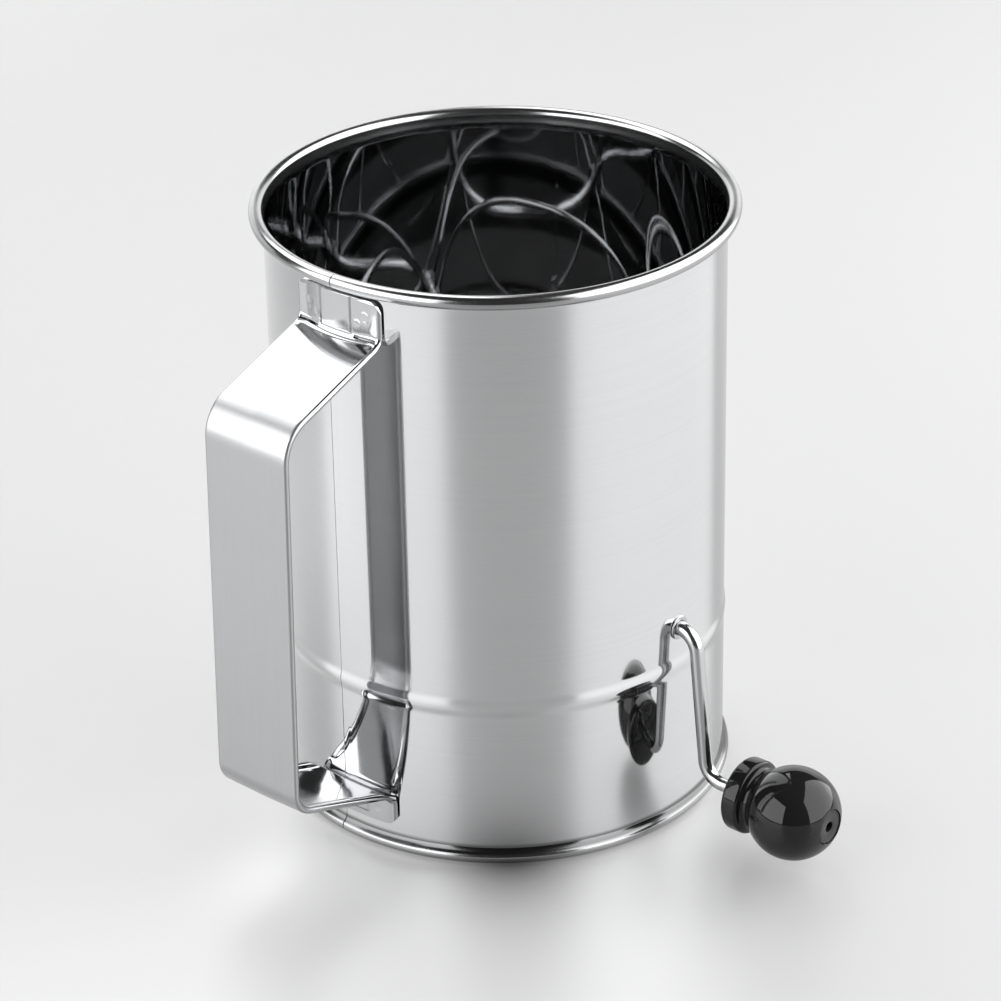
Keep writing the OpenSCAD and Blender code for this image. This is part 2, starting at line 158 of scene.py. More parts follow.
def lathe_z(profile):
    """A closed profile [(r, z)] turned about Z."""
    angles = np.linspace(0, 2 * math.pi, 240, endpoint=False)
    profile = np.asarray(profile, float)
    r, z = (np.tile(column, (len(angles), 1)) for column in profile.T)
    return turned(r, z, angles), grid_faces(len(angles), len(profile))


def lathe_y(profile, axis_z, segments, sign):
    """A closed profile [(radius, distance)] turned about the parallel to Y at height axis_z."""
    angles = np.linspace(0, 2 * math.pi, segments, endpoint=False)
    profile = np.asarray(profile, float)
    r, y = (np.tile(column, (segments, 1)) for column in profile.T)
    cos, sin = np.cos(angles)[:, None], np.sin(angles)[:, None]
    verts = np.stack([r * cos, sign * y, axis_z + r * sin], -1).reshape(-1, 3)
    return verts, grid_faces(segments, len(profile))


def arc(x, y, radius, start, end, count):
    """Points on an arc; start and end in degrees."""
    return [(x + radius * math.cos(t), y + radius * math.sin(t))
            for t in np.radians(np.linspace(start, end, count))]


def circle(x, y, radius, count):
    return [(x + radius * math.cos(t), y + radius * math.sin(t))
            for t in np.linspace(0, 2 * math.pi, count, endpoint=False)]


def rounded_rect(x0, x1, y0, y1, corner):
    return (arc(x1 - corner, y1 - corner, corner, 0, 90, 4)
            + arc(x0 + corner, y1 - corner, corner, 90, 180, 4)
            + arc(x0 + corner, y0 + corner, corner, 180, 270, 4)
            + arc(x1 - corner, y0 + corner, corner, 270, 360, 4))


def path_lengths(path):
    """Distance along a path at each of its points."""
    return np.concatenate([[0], np.cumsum(np.linalg.norm(np.diff(path, axis=0), axis=1))])


def resample(path, step):
    path = np.asarray(path, float)
    length = path_lengths(path)
    stations = np.linspace(0, length[-1], int(math.ceil(length[-1] / step)) + 1)
    return np.stack([np.interp(stations, length, column) for column in path.T], 1)


def unit(vectors):
    return vectors / np.linalg.norm(vectors, axis=-1, keepdims=True)


def clamp(values):
    return np.clip(values, 0, 1)


def tube(path, radius, segments):
    """A round wire along a path, with slightly rounded, closed ends."""
    tangent = unit(np.gradient(path, axis=0))
    side = [unit(np.cross(tangent[0], [0.0, 0.0, 1.0]))]
    for direction in tangent[1:]:
        side.append(unit(side[-1] - direction * (side[-1] @ direction)))
    side = np.array(side)
    up = np.cross(tangent, side)

    # each end is doubled: a small ring at the tip and a nearly full one just inside it
    rings = np.r_[0, 0:len(path), len(path) - 1]
    ease = min(0.35, radius * 0.3)
    centre = path[rings]
    centre[1] += tangent[0] * ease * 0.3
    centre[-2] -= tangent[-1] * ease * 0.3
    radii = np.full(len(rings), float(radius))
    radii[[0, -1]] -= ease
    radii[[1, -2]] -= ease * 0.25

    t = np.linspace(0, 2 * math.pi, segments, endpoint=False)[None, :, None]
    ring = np.cos(t) * side[rings][:, None] + np.sin(t) * up[rings][:, None]
    verts = (centre[:, None] + radii[:, None, None] * ring).reshape(-1, 3)
    first, last = len(verts), len(verts) + 1
    last_ring = (len(rings) - 1) * segments
    faces = list(grid_faces(len(rings), segments, closed=False))
    faces += [(first, (k + 1) % segments, k) for k in range(segments)]
    faces += [(last, last_ring + k, last_ring + (k + 1) % segments) for k in range(segments)]
    return np.concatenate([verts, [path[0]], [path[-1]]]), faces


def thicken(path, thickness):
    """A closed loop around an open path, with rounded ends."""
    path = np.asarray(path, float)
    along = unit(np.gradient(path, axis=0))
    across = np.stack([along[:, 1], -along[:, 0]], 1)
    half = thickness / 2

    def end(i, sign, degrees):
        return [path[i] + sign * along[i] * half * math.sin(t) + across[i] * half * math.cos(t)
                for t in np.radians(degrees)]

    return np.concatenate([path + across * half, end(-1, 1, [30, 60, 90, 120, 150]),
                           (path - across * half)[::-1], end(0, -1, [150, 120, 90, 60, 30])])


# ---------------------------------------------------------------- materials (lengths in metres)
class Shader:
    """A new material with short forms for adding nodes to it."""

    def __init__(self, name):
        self.material = bpy.data.materials.new(name)
        self.material.use_nodes = True
        self.tree = self.material.node_tree
        self.principled = self.tree.nodes["Principled BSDF"]
        self.position = self.node("ShaderNodeTexCoord").outputs["Object"]

    def node(self, kind, **settings):
        node = self.tree.nodes.new(kind)
        for key, value in settings.items():
            setattr(node, key, value)
        return node

    def feed(self, socket, value):
        if isinstance(value, bpy.types.NodeSocket):
            self.tree.links.new(value, socket)
        else:
            socket.default_value = value

    def set(self, name, value):
        self.feed(self.principled.inputs[name], value)

    def math(self, operation, *values, clamp=False):
        node = self.node("ShaderNodeMath", operation=operation, use_clamp=clamp)
        for socket, value in zip(node.inputs, values):
            self.feed(socket, value)
        return node.outputs[0]

    def add(self, total, *values):
        for value in values:
            total = self.math("ADD", total, value)
        return total

    def sub(self, a, b):
        return self.math("SUBTRACT", a, b)

    def mul(self, a, b):
        return self.math("MULTIPLY", a, b)

    def radius(self, x, y):
        squares = self.add(self.math("POWER", x, 2.0), self.math("POWER", y, 2.0))
        return self.math("POWER", squares, 0.5)

    def exp(self, value, factor):
        return self.math("POWER", 2.71828, self.mul(value, factor))

    def square(self, value, width):
        """(value / width) squared."""
        ratio = self.math("ABSOLUTE", self.math("DIVIDE", value, width))
        return self.math("POWER", ratio, 2.0)

    def spot(self, x, y, centre, size):
        """A soft round or oval spot, 1 at its centre."""
        return self.exp(self.add(self.square(self.sub(x, centre[0]), size[0]),
                                 self.square(self.sub(y, centre[1]), size[1])), -1.0)

    def ramp(self, value, span, out=(0.0, 1.0)):
        node = self.node("ShaderNodeMapRange", clamp=True)
        for socket, number in zip(node.inputs, (value, *span, *out)):
            self.feed(socket, number)
        return node.outputs[0]

    def noise(self, vector, scale, detail, rough=0.5):
        node = self.node("ShaderNodeTexNoise")
        node.inputs["Scale"].default_value = scale
        node.inputs["Detail"].default_value = detail
        node.inputs["Roughness"].default_value = rough
        self.feed(node.inputs["Vector"], vector)
        return node.outputs[0]

    def stretch(self, vector, scale):
        node = self.node("ShaderNodeMapping")
        node.inputs["Scale"].default_value = scale
        self.feed(node.inputs["Vector"], vector)
        return node.outputs[0]

    def split(self):
        node = self.node("ShaderNodeSeparateXYZ")
        self.feed(node.inputs[0], self.position)
        return node.outputs

    def mix(self, factor, color_a, color_b):
        node = self.node("ShaderNodeMix", data_type="RGBA")
        self.feed(node.inputs[0], factor)
        node.inputs[6].default_value = (*color_a, 1)
        node.inputs[7].default_value = (*color_b, 1)
        return node.outputs[2]

    def dim(self, color, share):
        node = self.node("ShaderNodeVectorMath", operation="SCALE")
        self.feed(node.inputs[0], color)
        self.feed(node.inputs["Scale"], share)
        return node.outputs[0]

    def bump(self, height, strength, distance, under=None):
        node = self.node("ShaderNodeBump")
        node.inputs["Strength"].default_value = strength
        node.inputs["Distance"].default_value = distance
        self.feed(node.inputs["Height"], height)
        if under:
            self.feed(node.inputs["Normal"], under)
        return node.outputs[0]


def roll_zones(s, x, y, z, rough):
    """Bright, smoother inside; rougher curled edges darkened as painted shade to dim their
    highlights; a painted shade band in the crease above the base ring.
    """
    inside = s.ramp(s.radius(x, y), span=(0.0610, 0.06115), out=(1.0, 0.0))
    rolls = s.math("MAXIMUM", s.ramp(z, span=(0.0036, 0.0050), out=(1.0, 0.0)),
                   s.ramp(z, span=(0.1635, 0.1643)))
    rough = s.mul(rough, s.sub(1.0, s.mul(inside, 0.42)))
    rough = s.math("ADD", rough, s.mul(rolls, 0.13), clamp=True)
    # painted shade: a dark band in the crease above the base ring, and the rolled edges darkened to
    # dim their highlights
    crease_shade = s.mul(s.ramp(z, span=(0.0023, 0.0032)),
                   s.ramp(z, span=(0.0046, 0.0056), out=(1.0, 0.0)))
    shade = s.mul(s.sub(1.0, s.mul(rolls, 0.34)), s.sub(1.0, s.mul(crease_shade, 0.72)))
    return rough, shade


def grip_zones(s, x, y, z, rough):
    """The grip is dulled by hand and cloth, the ends near the body are not; the grip's colour is
    also darkened a little as painted shade.
    """
    grip = s.ramp(s.mul(x, -1.0), span=(0.080, 0.092))
    rough = s.math("ADD", rough, s.mul(grip, 0.25), clamp=True)
    # painted shade: the grip's colour is darkened by up to 12 percent to dim its reflections
    return rough, s.sub(1.0, s.mul(grip, 0.12))


# scale of the drawing lines, small along the direction they run
GRAIN = {"around": (6.0, 2600.0, 30.0), "x": (14.0, 1500.0, 1500.0),
         "y": (1500.0, 14.0, 1500.0), "z": (1500.0, 1500.0, 14.0)}
SCRATCH = 0.3                                          # strength of the hairline scratches


def steel(name, color, rough, lines, wave, smudge, line_bump=0.25, grain="z", zones=None):
    """Polished stainless: drawing lines, slow waviness, smudges and hairline scratches.

    lines and smudge are added roughness; wave is the depth of the slow waviness."""
    s = Shader(name)
    pos = s.position
    axes = s.split() if zones else None
    vector = pos
    if grain == "around":
        # unrolled wall: length round it, height, radius
        x, y, z = axes
        unrolled = s.node("ShaderNodeCombineXYZ")
        s.feed(unrolled.inputs[0], s.mul(s.math("ARCTAN2", y, x), 0.061))
        s.feed(unrolled.inputs[1], z)
        s.feed(unrolled.inputs[2], s.mul(s.radius(x, y), 1.0))
        vector = unrolled.outputs[0]
        s.set("Anisotropic Rotation", 0.25)
    stretch = GRAIN[grain]
    line = s.noise(s.stretch(vector, stretch), scale=1.0, detail=4.0, rough=0.6)
    wide_line = s.noise(s.stretch(vector, tuple(k * 0.22 for k in stretch)),
                        scale=1.0, detail=2.0)
    slow = s.noise(pos, scale=16.0, detail=1.0, rough=0.4)
    middle = s.noise(pos, scale=55.0, detail=2.0)
    blot = s.noise(pos, scale=30.0, detail=5.0, rough=0.65)
    fine = s.noise(pos, scale=900.0, detail=2.0)

    # hairline scratches in crossing directions, in patches
    cells = s.node("ShaderNodeTexVoronoi", feature="DISTANCE_TO_EDGE")
    cells.inputs["Scale"].default_value = 1.0
    cells.inputs["Randomness"].default_value = 1.0
    s.feed(cells.inputs["Vector"], s.stretch(pos, (90.0, 60.0, 220.0)))
    hair = s.mul(s.ramp(cells.outputs["Distance"], span=(0.0, 0.012), out=(1.0, 0.0)),
                 s.ramp(s.noise(pos, scale=70.0, detail=2.0), span=(0.58, 0.66)))

    roughness = s.add(rough, s.mul(s.sub(line, 0.5), lines),
                      s.mul(s.ramp(blot, span=(0.5, 0.75)), smudge))
    roughness = s.math("ADD", roughness, s.mul(hair, 0.12 * SCRATCH), clamp=True)
    tone = s.ramp(s.add(s.mul(line, 0.6), s.mul(blot, 0.4)), span=(0.35, 0.65))
    red, green, blue = color
    base = s.mix(tone, (red * 0.955, green * 0.955, blue * 0.96), color)
    if zones:
        roughness, shade = zones(s, *axes, roughness)
        base = s.dim(base, shade)
    s.set("Roughness", roughness)
    s.set("Base Color", base)
    s.set("Metallic", 1.0)

    waves = s.bump(s.add(s.mul(slow, 0.8), s.mul(middle, 0.10)),
                   strength=1.0, distance=wave * MM * 10)
    drawn = s.bump(s.add(line, s.mul(wide_line, 1.5), s.mul(hair, -0.8 * SCRATCH)),
                   strength=line_bump, distance=0.004 * MM, under=waves)
    s.set("Normal", s.bump(fine, strength=0.05, distance=0.002 * MM, under=drawn))
    return s.material


def black_plastic(name, rough, level):
    """Gloss black; level is the base reflectance."""
    s = Shader(name)
    blot = s.noise(s.position, scale=60.0, detail=4.0, rough=0.6)
    grit = s.noise(s.position, scale=1400.0, detail=2.0)
    slow = s.noise(s.position, scale=22.0, detail=1.0)
    s.set("Roughness", s.add(rough, s.mul(s.ramp(blot, span=(0.45, 0.8)), 0.05)))
    s.set("Base Color", s.mix(s.ramp(blot, span=(0.3, 0.7)),
                              (level, level, level * 1.05),
                              (level * 1.35, level * 1.35, level * 1.4)))
    s.set("IOR", 1.42)
    waves = s.bump(slow, strength=0.5, distance=0.03 * MM)
    s.set("Normal", s.bump(grit, strength=0.06, distance=0.004 * MM, under=waves))
    return s.material


# a finish is a material and the name of its slot
SHELL_STEEL = (steel("SteelBody", (0.70, 0.705, 0.71), rough=0.055, lines=0.02, wave=0.004,
                     smudge=0.03, line_bump=0.12, grain="around", zones=roll_zones),
               "polished_steel")
# painted shade: the steel of the strap, eyelets and shaft cap is a darker copy of the body steel
STRAP_STEEL_SHADED = (steel("SteelStrapShaded", (0.52, 0.525, 0.53), rough=0.085, lines=0.02, wave=0.006,
                     smudge=0.03, line_bump=0.12, zones=grip_zones), "polished_steel")
WIRE = (steel("SteelWire", (0.56, 0.565, 0.57), rough=0.15, lines=0.06, wave=0.004,
              smudge=0.06), "steel_wire")
# painted shade: the bows and hubs are far darker than bare steel, standing in for the shade inside
# the cup
AGITATOR_SHADED = (steel("SteelAgitatorShaded", (0.25, 0.2525, 0.255), rough=0.14, lines=0.05, wave=0.004,
                  smudge=0.08, grain="y"), "steel_wire")
# painted shade: the screen wire is nearly black, standing in for the shade inside the cup
CLOTH_SHADED = (steel("SteelScreenShaded", (0.030, 0.0303, 0.0306), rough=0.3, lines=0.1, wave=0.001,
               smudge=0.1, grain="x"), "screen_wire")
# painted shade: the screen hoops are darkened, standing in for the shade inside the cup
HOOP_SHADED = (steel("SteelHoopShaded", (0.30, 0.303, 0.306), rough=0.22, lines=0.08, wave=0.002,
              smudge=0.08), "polished_steel")
PLASTIC = (black_plastic("BlackGloss", rough=0.035, level=0.0085), "black_plastic")
PLUG = (black_plastic("BlackPlug", rough=0.12, level=0.0085 + 0.005), "black_plastic")


# ---------------------------------------------------------------- body shell
def shell_path():
    """Middle of the sheet as (r, z), from the foot's free edge up to the rim's."""
    path = arc(FOOT_CENTRE, FOOT_Z, FOOT_RADIUS - SHEET / 2, 128, 395, 34)
    # fillet from the foot curl up to the wall
    foot_r, foot_z = path[-1]
    for k in range(1, 7):
        t = k / 6
        path.append((foot_r + (WALL_MID - foot_r) * (1 - (1 - t) ** 1.8),
                     foot_z + (4.9 - foot_z) * t ** 1.15))
    path += [(WALL_MID, z) for z in np.linspace(5.6, BEAD_Z - 4.0, 7)]
    bead_half = 3.2
    for z in np.linspace(BEAD_Z - 3.4, BEAD_Z + 3.4, 23):
        q = abs(z - BEAD_Z) / bead_half
        swell = BEAD_HEIGHT * 0.5 * (1 + math.cos(math.pi * q)) if q < 1 else 0.0
        path.append((WALL_MID + swell, z))
    path += [(WALL_MID, z) for z in np.linspace(BEAD_Z + 4.0, 162.3, 12)]
    # the wall eases inward or outward to meet the side of the rim curl
    curl = RIM_RADIUS - SHEET / 2
    ease_z = 162.6
    for z in np.linspace(162.9, RIM_Z - 0.5, 6):
        t = (z - ease_z) / (RIM_Z - ease_z)
        path.append((WALL_MID + (RIM_CENTRE - curl - WALL_MID) * t * t * (3 - 2 * t), z))
    return path + arc(RIM_CENTRE, RIM_Z, curl, 180, -132, 34)


def turn_from(angles, centre):
    """Signed turn of each angle from a centre."""
    return (angles - centre + math.pi) % (2 * math.pi) - math.pi


def shell_angles():
    """One-degree stations, with closer ones either side of the seam and the rim joint."""
    seam_degrees = (0.05, 0.09, 0.13, 0.18, 0.26, 0.4, 0.7, 1.2, 1.8, 2.3,
                    2.55, 2.65, 2.75, 2.95, 3.2)
    joint_degrees = (0.09, 0.13, 0.18, 0.26, 0.5)
    even = np.arange(0, 2 * math.pi - 1e-9, math.radians(1.0))
    clear = ((np.abs(turn_from(even, SEAM)) > math.radians(3.3))
             & (np.abs(turn_from(even, RIM_JOINT)) > math.radians(0.7)))
    angles = list(even[clear])
    for centre, offsets in ((SEAM, seam_degrees), (RIM_JOINT, joint_degrees)):
        angles += [centre + math.radians(side * x) for x in offsets for side in (-1, 1)]
    return np.array(sorted(a % (2 * math.pi) for a in angles))


def make_shell():
    loop = thicken(shell_path(), SHEET)
    loop[:, 1] = np.maximum(loop[:, 1], 0.0)
    loop_r, loop_z = loop.T
    angles = shell_angles()
    seam_turn = turn_from(angles, SEAM)
    seam_deg = np.degrees(np.abs(seam_turn))
    joint_deg = np.degrees(np.abs(turn_from(angles, RIM_JOINT)))
    seam_groove, joint_groove = (clamp(1 - np.maximum(deg - 0.09, 0) / 0.07)
                                 for deg in (seam_deg, joint_deg))

    # the seam: a groove and a lap step outside, a fold standing proud inside
    outside = (loop_r > WALL_MID) & (loop_z > 4.5) & (loop_z < 161)
    inside = (loop_r < WALL_MID + 0.35) & ~outside
    folded = inside & (((loop_z > 56.5) & (loop_z < 158)) | ((loop_z > 6) & (loop_z < 43.5)))
    lap = np.where(seam_turn > 0, clamp((2.4 - seam_deg) / 1.2), 0.0)
    fold = clamp((2.7 - seam_deg) / 0.12)
    shift = (-np.outer(seam_groove, outside * 0.20) + np.outer(lap, outside * 0.045)
             - np.outer(fold, folded * 0.6))
    r = loop_r + shift
    z = np.tile(loop_z, (len(angles), 1))

    # rolled rim and foot: the joint is a nick all the way round the roll
    nick = 0.34
    for near, centre_r, centre_z, radius, groove in (
            (loop_z > 161.5, RIM_CENTRE, RIM_Z, RIM_RADIUS, joint_groove),
            (loop_z < 4.2, FOOT_CENTRE, FOOT_Z, FOOT_RADIUS, seam_groove)):
        roll = near & (np.hypot(loop_r - centre_r, loop_z - centre_z) > radius - 0.1)
        dr, dz = r[:, roll] - centre_r, z[:, roll] - centre_z
        shrink = 1 - nick * groove[:, None] / np.hypot(dr, dz)
        r[:, roll] = centre_r + dr * shrink
        z[:, roll] = np.maximum(centre_z + dz * shrink, 0.0)
    piece("BodyShell", (turned(r, z, angles), grid_faces(len(angles), len(loop))),
          BODY, "body_shell", SHELL_STEEL, sharp=35)

    # stiffening wires inside the rolls
    for name, r, z, node in (("RimWire", RIM_CENTRE, RIM_Z, "rim_wire"),
                             ("BaseWire", FOOT_CENTRE, FOOT_Z, "base_wire")):
        piece(name, lathe_z(circle(r, z, 1.33, 16)), BODY, node, WIRE)


# ---------------------------------------------------------------- screen
def weave(rng, phase, crosswise):
    """Wires of one direction. Each passes over and under its neighbours on the dome."""
    parts = []
    side_count = int((SCREEN_EDGE_R - 1.0) / SCREEN_PITCH)
    segments = 5
    turn = np.linspace(0, 2 * math.pi, segments, endpoint=False)[None, :, None]
    for i in range(-side_count, side_count + 1):
        offset = i * SCREEN_PITCH + rng.normal(0, 0.03)
        reach = math.sqrt(max((SCREEN_EDGE_R - 0.1) ** 2
                              - (abs(offset) + SCREEN_WIRE_R) ** 2, 1.0))
        count = max(8, int(2 * reach / (SCREEN_PITCH / 3.0)))
        along = np.linspace(-reach, reach, count)
        flip = math.pi if i % 2 else 0
        radius = SCREEN_R + 0.22 * np.cos(math.pi * along / SCREEN_PITCH + flip + phase)
        drop = np.sqrt(np.maximum(radius * radius - along * along - offset * offset, 1.0))
        path = np.stack([along, np.full(count, offset), SCREEN_CENTRE_Z - drop], 1)
        tangent = unit(np.gradient(path, axis=0))
        up = unit(np.cross(tangent, [0, 1, 0]))
        side = np.cross(tangent, up)
        ring = np.cos(turn) * up[:, None] + np.sin(turn) * side[:, None]
        verts = (path[:, None] + SCREEN_WIRE_R * ring).reshape(-1, 3)
        if crosswise:
            verts = np.stack([-verts[:, 1], verts[:, 0], verts[:, 2]], 1)
        parts.append((verts, grid_faces(count, segments, closed=False)))
    return join(parts)


def make_screen():
    r = SCREEN_EDGE_R
    piece("ScreenHoopOuter", lathe_z(rounded_rect(r + 0.48, r + 1.08, 48.2, 54.0, 0.15)),
          BODY, "screen_hoop_outer", HOOP_SHADED)
    profile = [(r - 0.04, 51.8), (r - 0.04, 54.0)] + arc(r - 0.3, 54.05, 0.33, 0, 180, 9)
    profile += [(r - 0.63, 53.6), (r - 0.63, 51.95), (r - 0.5, 51.8)]
    piece("ScreenHoopInner", lathe_z(profile), BODY, "screen_hoop_inner", HOOP_SHADED)
    piece("ScreenSnapRing", lathe_z(circle(60.5, BEAD_Z, 0.55, 20)),
          BODY, "screen_snap_ring", WIRE)
    rng = np.random.default_rng(7)
    for name, phase, crosswise in (("ScreenWarp", 0.0, False), ("ScreenWeft", math.pi, True)):
        piece(name, weave(rng, phase, crosswise), BODY, "screen_mesh", CLOTH_SHADED, sharp=0)
    piece("ScreenEdge", lathe_z(rounded_rect(r, r + 0.44, 46.6, 53.8, 0.1)),
          BODY, "screen_mesh", CLOTH_SHADED)


# ---------------------------------------------------------------- crank and agitator
def make_eyelets():
    """Bearings in the wall: a flange inside, a neck through it and a rolled lip outside."""
    flange, bore, face = 4.2, 2.05, 58.6
    inner = math.sqrt(WALL_INNER ** 2 - flange ** 2) - 0.02
    outer = WALL_OUTER + 0.02
    profile = [(bore, face + 0.15), (2.2, face)]
    profile += arc(flange - 0.3, face + 0.3, 0.3, -90, 0, 4)
    profile += [(flange, inner), (3.0, inner), (3.0, outer), (3.2, outer)]
    profile += arc(3.35 - 0.22, outer + 0.24, 0.22, -60, 70, 7)
    profile += arc(2.75, outer + 0.17, 0.33, 75, 110, 4)
    profile += arc(2.35, outer + 0.2, 0.3, 90, 180, 5) + [(bore, outer - 0.1)]
    for name, sign, node in (("EyeletFront", -1, "bearing_eyelet_front"),
                             ("EyeletRear", 1, "bearing_eyelet_rear")):
        piece(name, lathe_y(profile, SHAFT_Z, 72, sign), BODY, node, STRAP_STEEL_SHADED, sharp=45)


def make_crank_rod():
    """Shaft, arm and knob spindle in one wire, drawn as (distance to the front, z)."""
    bend = 6.0
    turn = math.pi / 2 - math.atan2(CRANK_FLARE, CRANK_DROP)
    setback = bend * math.tan(turn / 2)
    turn_deg = math.degrees(turn)
    arm_top = 66.9
    arm_foot = arm_top + CRANK_FLARE
    points = [(-65.8, SHAFT_Z)]
    points += [(y, SHAFT_Z) for y in np.linspace(-60, arm_top - setback - 0.5, 30)]
    points += arc(arm_top - setback, SHAFT_Z - bend, bend, 90, 90 - turn_deg, 22)
    points += arc(arm_foot + setback, GRIP_Z + bend, bend, 270 - turn_deg, 270, 22)
    points += [(y, GRIP_Z) for y in np.linspace(arm_foot + setback + 0.5, KNOB_Y + 22.0, 8)]
    rod = resample([(0.0, -y, z) for y, z in points], 0.55)
    piece("CrankRod", tube(rod, ROD_R, 40), CRANK, "crank_rod", WIRE, sharp=50)


def about_shaft(x, y, z, degrees):
    """Points turned about the shaft; z is measured from its axis."""
    cos, sin = math.cos(math.radians(degrees)), math.sin(math.radians(degrees))
    return np.stack([x * cos + z * sin, y, SHAFT_Z + z * cos - x * sin], -1).reshape(-1, 3)


def bow_path():
    """A bow hanging straight down, as (y, z from the shaft)."""
    start_z = -3.1
    corner_y = BOW_Y - BOW_CORNER
    corner_z = math.sqrt((BOW_R - BOW_CORNER) ** 2 - corner_y * corner_y) - BOW_CENTRE
    sweep = math.degrees(math.atan2(corner_z + BOW_CENTRE, corner_y))
    path = [(-BOW_Y, start_z), (-BOW_Y, -corner_z)]
    path += arc(-corner_y, -corner_z, BOW_CORNER, 180, 180 + sweep, 12)[1:]
    path += arc(0.0, BOW_CENTRE, BOW_R, 180 + sweep, 360 - sweep, 90)[1:]
    path += arc(corner_y, -corner_z, BOW_CORNER, -sweep, 0, 12)[1:]
    return path + [(BOW_Y, start_z)]


def braze_fillets():
    """Small collars of filler where the bows enter the hubs."""
    profile = [(1.28, 4.85), (1.28, 5.9)] + arc(1.35, 5.3, 0.62, 60, -30, 6) + [(2.0, 4.85)]
    segments = 24
    t = np.linspace(0, 2 * math.pi, segments, endpoint=False)[:, None]
    r, depth = (np.tile(column, (segments, 1)) for column in np.array(profile).T)
    parts = []
    for sign in (-1, 1):
        for angle in BOW_ANGLES:
            # the bow's angle only varies the phase of the three uneven lobes
            lobed = r * (1 + 0.06 * np.sin(3 * t + angle))
            verts = about_shaft(lobed * np.cos(t), sign * BOW_Y + lobed * np.sin(t),
                                -depth, angle)
            parts.append((verts, grid_faces(segments, len(profile))))
    return join(parts)


def make_agitator():
    path = resample(bow_path(), 0.8)
    for k, angle in enumerate(BOW_ANGLES, 1):
        bow = about_shaft(np.zeros(len(path)), path[:, 0], path[:, 1], angle)
        piece("AgitatorBow%d" % k, tube(bow, BOW_WIRE_R, 24), CRANK,
              "agitator_bow_%d" % k, AGITATOR_SHADED, sharp=50)
    hub = [(2.02, 51.35), (2.2, 51.2)] + arc(4.6, 51.6, 0.4, -90, 0, 5)
    hub += arc(4.6, 56.4, 0.4, 0, 90, 5) + [(2.2, 56.8), (2.02, 56.65)]
    washer = rounded_rect(2.08, 4.5, 57.2, 58.2, 0.15)
    for part, node, profile, segments, finish, sharp in (
            ("Hub", "agitator_hub", hub, 72, AGITATOR_SHADED, 45),
            ("Washer", "thrust_washer", washer, 64, WIRE, 40)):
        for side, sign in (("Front", -1), ("Rear", 1)):
            piece(part + side, lathe_y(profile, SHAFT_Z, segments, sign), CRANK,
                  node + "_" + side.lower(), finish, sharp)
    piece("BrazeFillets", braze_fillets(), CRANK, "agitator_hub_front", AGITATOR_SHADED, sharp=60)


def make_shaft_cap():
    """Domed cap on the rear end of the shaft."""
    profile = [(2.02, 63.5), (2.2, 63.3), (4.1, 63.3)] + arc(4.1, 63.6, 0.3, -90, 0, 4)
    profile += [(4.4, 65.2)] + arc(0.0, 61.9, 5.683, 40, 89.5, 14) + [(0.02, 65.95), (2.0, 65.9)]
    piece("ShaftEndCap", lathe_y(profile, SHAFT_Z, 72, 1), CRANK, "shaft_end_cap",
          STRAP_STEEL_SHADED, sharp=45)


# ---------------------------------------------------------------- knob
def make_knob():
    """Profiles are (radius, distance outward from the knob's inner face)."""
    ball_r, ball_at, collar = 12.8, 17.0, 10.3
    pocket = 4.9
    face = ball_at + math.sqrt(ball_r ** 2 - pocket ** 2)

    def on_knob(profile, segments):
        return lathe_y([(r, a + KNOB_Y) for r, a in profile], GRIP_Z, segments, -1)

    profile = [(2.05, 19.0), (2.05, 0.15), (2.2, 0.0), (collar - 1.0, 0.0)]
    profile += arc(collar - 1.0, 1.0, 1.0, -90, 0, 8)[1:]
    profile += arc(collar - 1.1, 4.1, 1.1, 0, 84, 10)
    profile += [(8.9, 5.35), (8.45, 5.7), (8.22, 6.1), (8.15, 6.6), (8.2, 7.0)]
    start = math.degrees(math.atan2(7.3 - ball_at, 8.25))
    end = math.degrees(math.atan2(face - ball_at, pocket))
    profile += arc(0.0, ball_at, ball_r, start, end - 1.2, 80)
    profile += [(pocket + 0.08, face - 0.06), (pocket, face - 0.16), (pocket, 19.0)]
    piece("KnobBall", on_knob(profile, 144), KNOB, "knob_ball", PLASTIC, sharp=38)

    # end plug: flat disc, shallow ring, centre hole
    plug = pocket - 0.19
    profile = [(1.45, face - 2.8), (1.45, face - 0.42)]
    profile += arc(1.63, face - 0.42, 0.18, 180, 90, 4) + [(3.95, face - 0.24)]
    profile += arc(4.2, face - 0.24, 0.16, 180, 360, 6)
    profile += arc(plug - 0.22, face - 0.46, 0.22, 90, 0, 5) + [(plug, face - 2.8)]
    piece("KnobEndPlug", on_knob(profile, 96), KNOB, "knob_end_plug", PLUG, sharp=38)
    piece("KnobPushNut", on_knob(rounded_rect(2.02, 4.2, 19.2, 19.9, 0.1), 48),
          CRANK, "knob_push_nut", WIRE)


# ---------------------------------------------------------------- handle strap
FOLD_POINTS = 24


def strap_corners():
    """Outer face of the strap as (r, z) corners, from the upper flange to the lower."""
    grip_top, grip_low = np.array([97.0, 138.4]), np.array([98.8, 29.2])
    # the arms are aimed at these points and carried on to the flanges
    aim_r, aim_top, aim_low = 62.2, 151.0, 16.7
    slope_top = (aim_top - grip_top[1]) / (grip_top[0] - aim_r)
    slope_low = (grip_low[1] - aim_low) / (grip_low[0] - aim_r)
    return [np.array([STRAP_R, 162.6]),
            np.array([STRAP_R, aim_top + (aim_r - STRAP_R) * slope_top]),
            grip_top, grip_low,
            np.array([STRAP_R, aim_low - (aim_r - STRAP_R) * slope_low]),
            np.array([STRAP_R, 7.9])]


